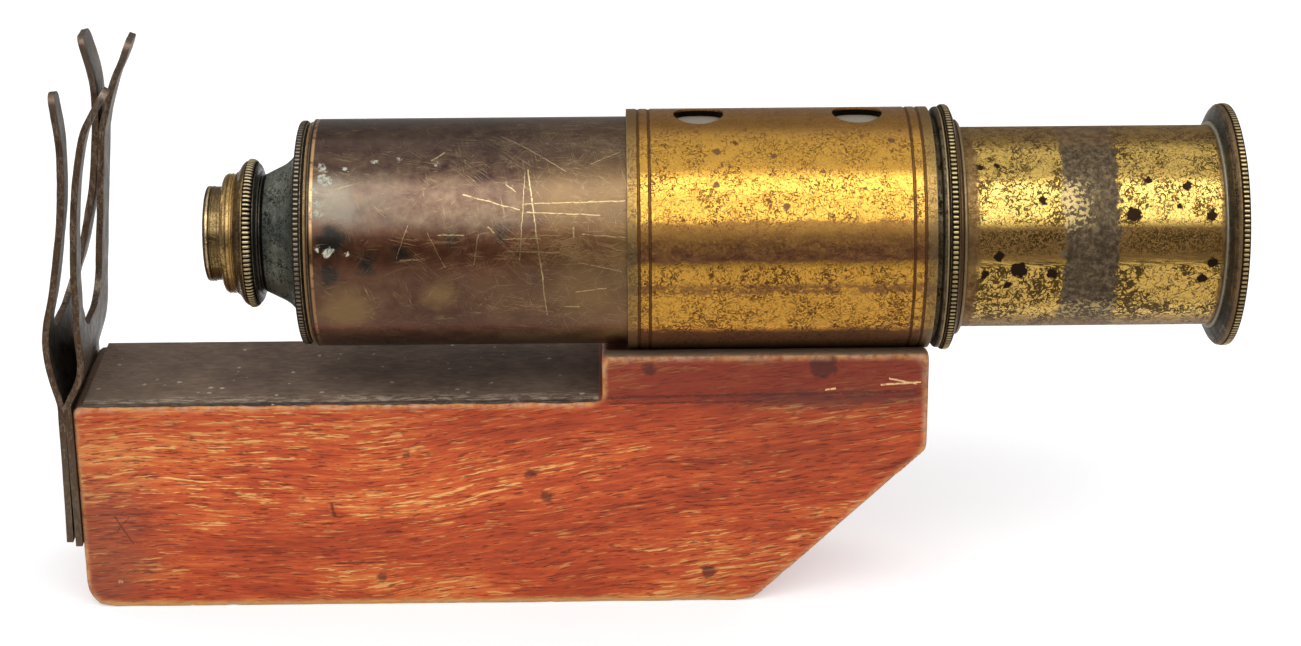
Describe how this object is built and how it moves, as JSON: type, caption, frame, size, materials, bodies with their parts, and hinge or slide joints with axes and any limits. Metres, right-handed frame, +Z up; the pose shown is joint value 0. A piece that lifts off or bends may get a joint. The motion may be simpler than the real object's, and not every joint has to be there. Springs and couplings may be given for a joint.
{
  "type": "compound microscope",
  "caption": "Horizontal compound microscope: sliding brass tubes in a sleeve on a hardwood block, with knurled objective and eyepiece and a two-leaf spring slide holder.",
  "frame": {"origin": "on the table plane, under the middle of the part's outer box: the underside of the wood block is z = 0", "axes": "+X along the optical axis from the slide holder to the eyepiece, +Y to the far side, +Z up"},
  "size_m": [0.1978, 0.0412, 0.0926],
  "materials": {
    "mahogany": "old French polish, worn, with pores and yellow streaks",
    "dark_lining": "thin blackened lining, dusty",
    "lacquered_brass": "old gold lacquer with brown specks",
    "spotted_brass": "gold lacquer with black spots and a brown tarnished band",
    "bronzed_brass": "dark chemical bronze, rubbed and scratched",
    "green_brass": "dark bronze gone green and grey",
    "dull_brass": "dull brown tarnished brass",
    "spring_brass": "blackened hammered spring brass, worn at its edges",
    "blackened_brass": "dead black against reflections",
    "screw_steel": "old steel wood screw",
    "lens_glass": "polished clear glass"
  },
  "bodies": {
    "base": {"wood_block": "mahogany", "recess_lining": "dark_lining", "sleeve": "lacquered_brass", "sleeve_screws": "screw_steel", "outer_leaf_foot": "spring_brass", "inner_leaf_foot": "spring_brass", "leaf_screws": "screw_steel"},
    "outer_leaf": {"outer_leaf_blade": "spring_brass"},
    "inner_leaf": {"inner_leaf_blade": "spring_brass"},
    "body": {"body_tube": "bronzed_brass", "nose_cap": "green_brass", "collar": "dull_brass", "draw_tube_guide": "dull_brass", "objective_mount": "dull_brass", "objective_cell": "dull_brass", "front_cell": "dull_brass", "front_lens": "lens_glass", "middle_lens": "lens_glass", "back_lens": "lens_glass", "objective_stop": "blackened_brass"},
    "eyepiece": {"draw_tube": "spotted_brass", "field_lens_cell": "dull_brass", "field_lens": "lens_glass", "field_stop": "blackened_brass", "eyepiece_flange": "dull_brass", "eye_lens_cell": "blackened_brass", "eye_lens": "lens_glass", "eye_lens_ring": "lacquered_brass"}
  },
  "joints": [
    {"name": "body_tube_slide", "type": "slide", "parent": "base", "child": "body", "axis": [1, 0, 0], "range_m": [-0.0009, 0.03]},
    {"name": "draw_tube_slide", "type": "slide", "parent": "body", "child": "eyepiece", "axis": [1, 0, 0], "range_m": [-0.04, 0.02]},
    {"name": "outer_leaf_flex", "type": "hinge", "parent": "base", "child": "outer_leaf", "pos_m": [-0.09667, 0, 0.038], "axis": [0, -1, 0], "range_deg": [0, 5], "stiffness_Nm_per_rad": 1.5},
    {"name": "inner_leaf_flex", "type": "hinge", "parent": "base", "child": "inner_leaf", "pos_m": [-0.09552, 0, 0.038], "axis": [0, 1, 0], "range_deg": [0, 4], "stiffness_Nm_per_rad": 1.5}
  ]
}
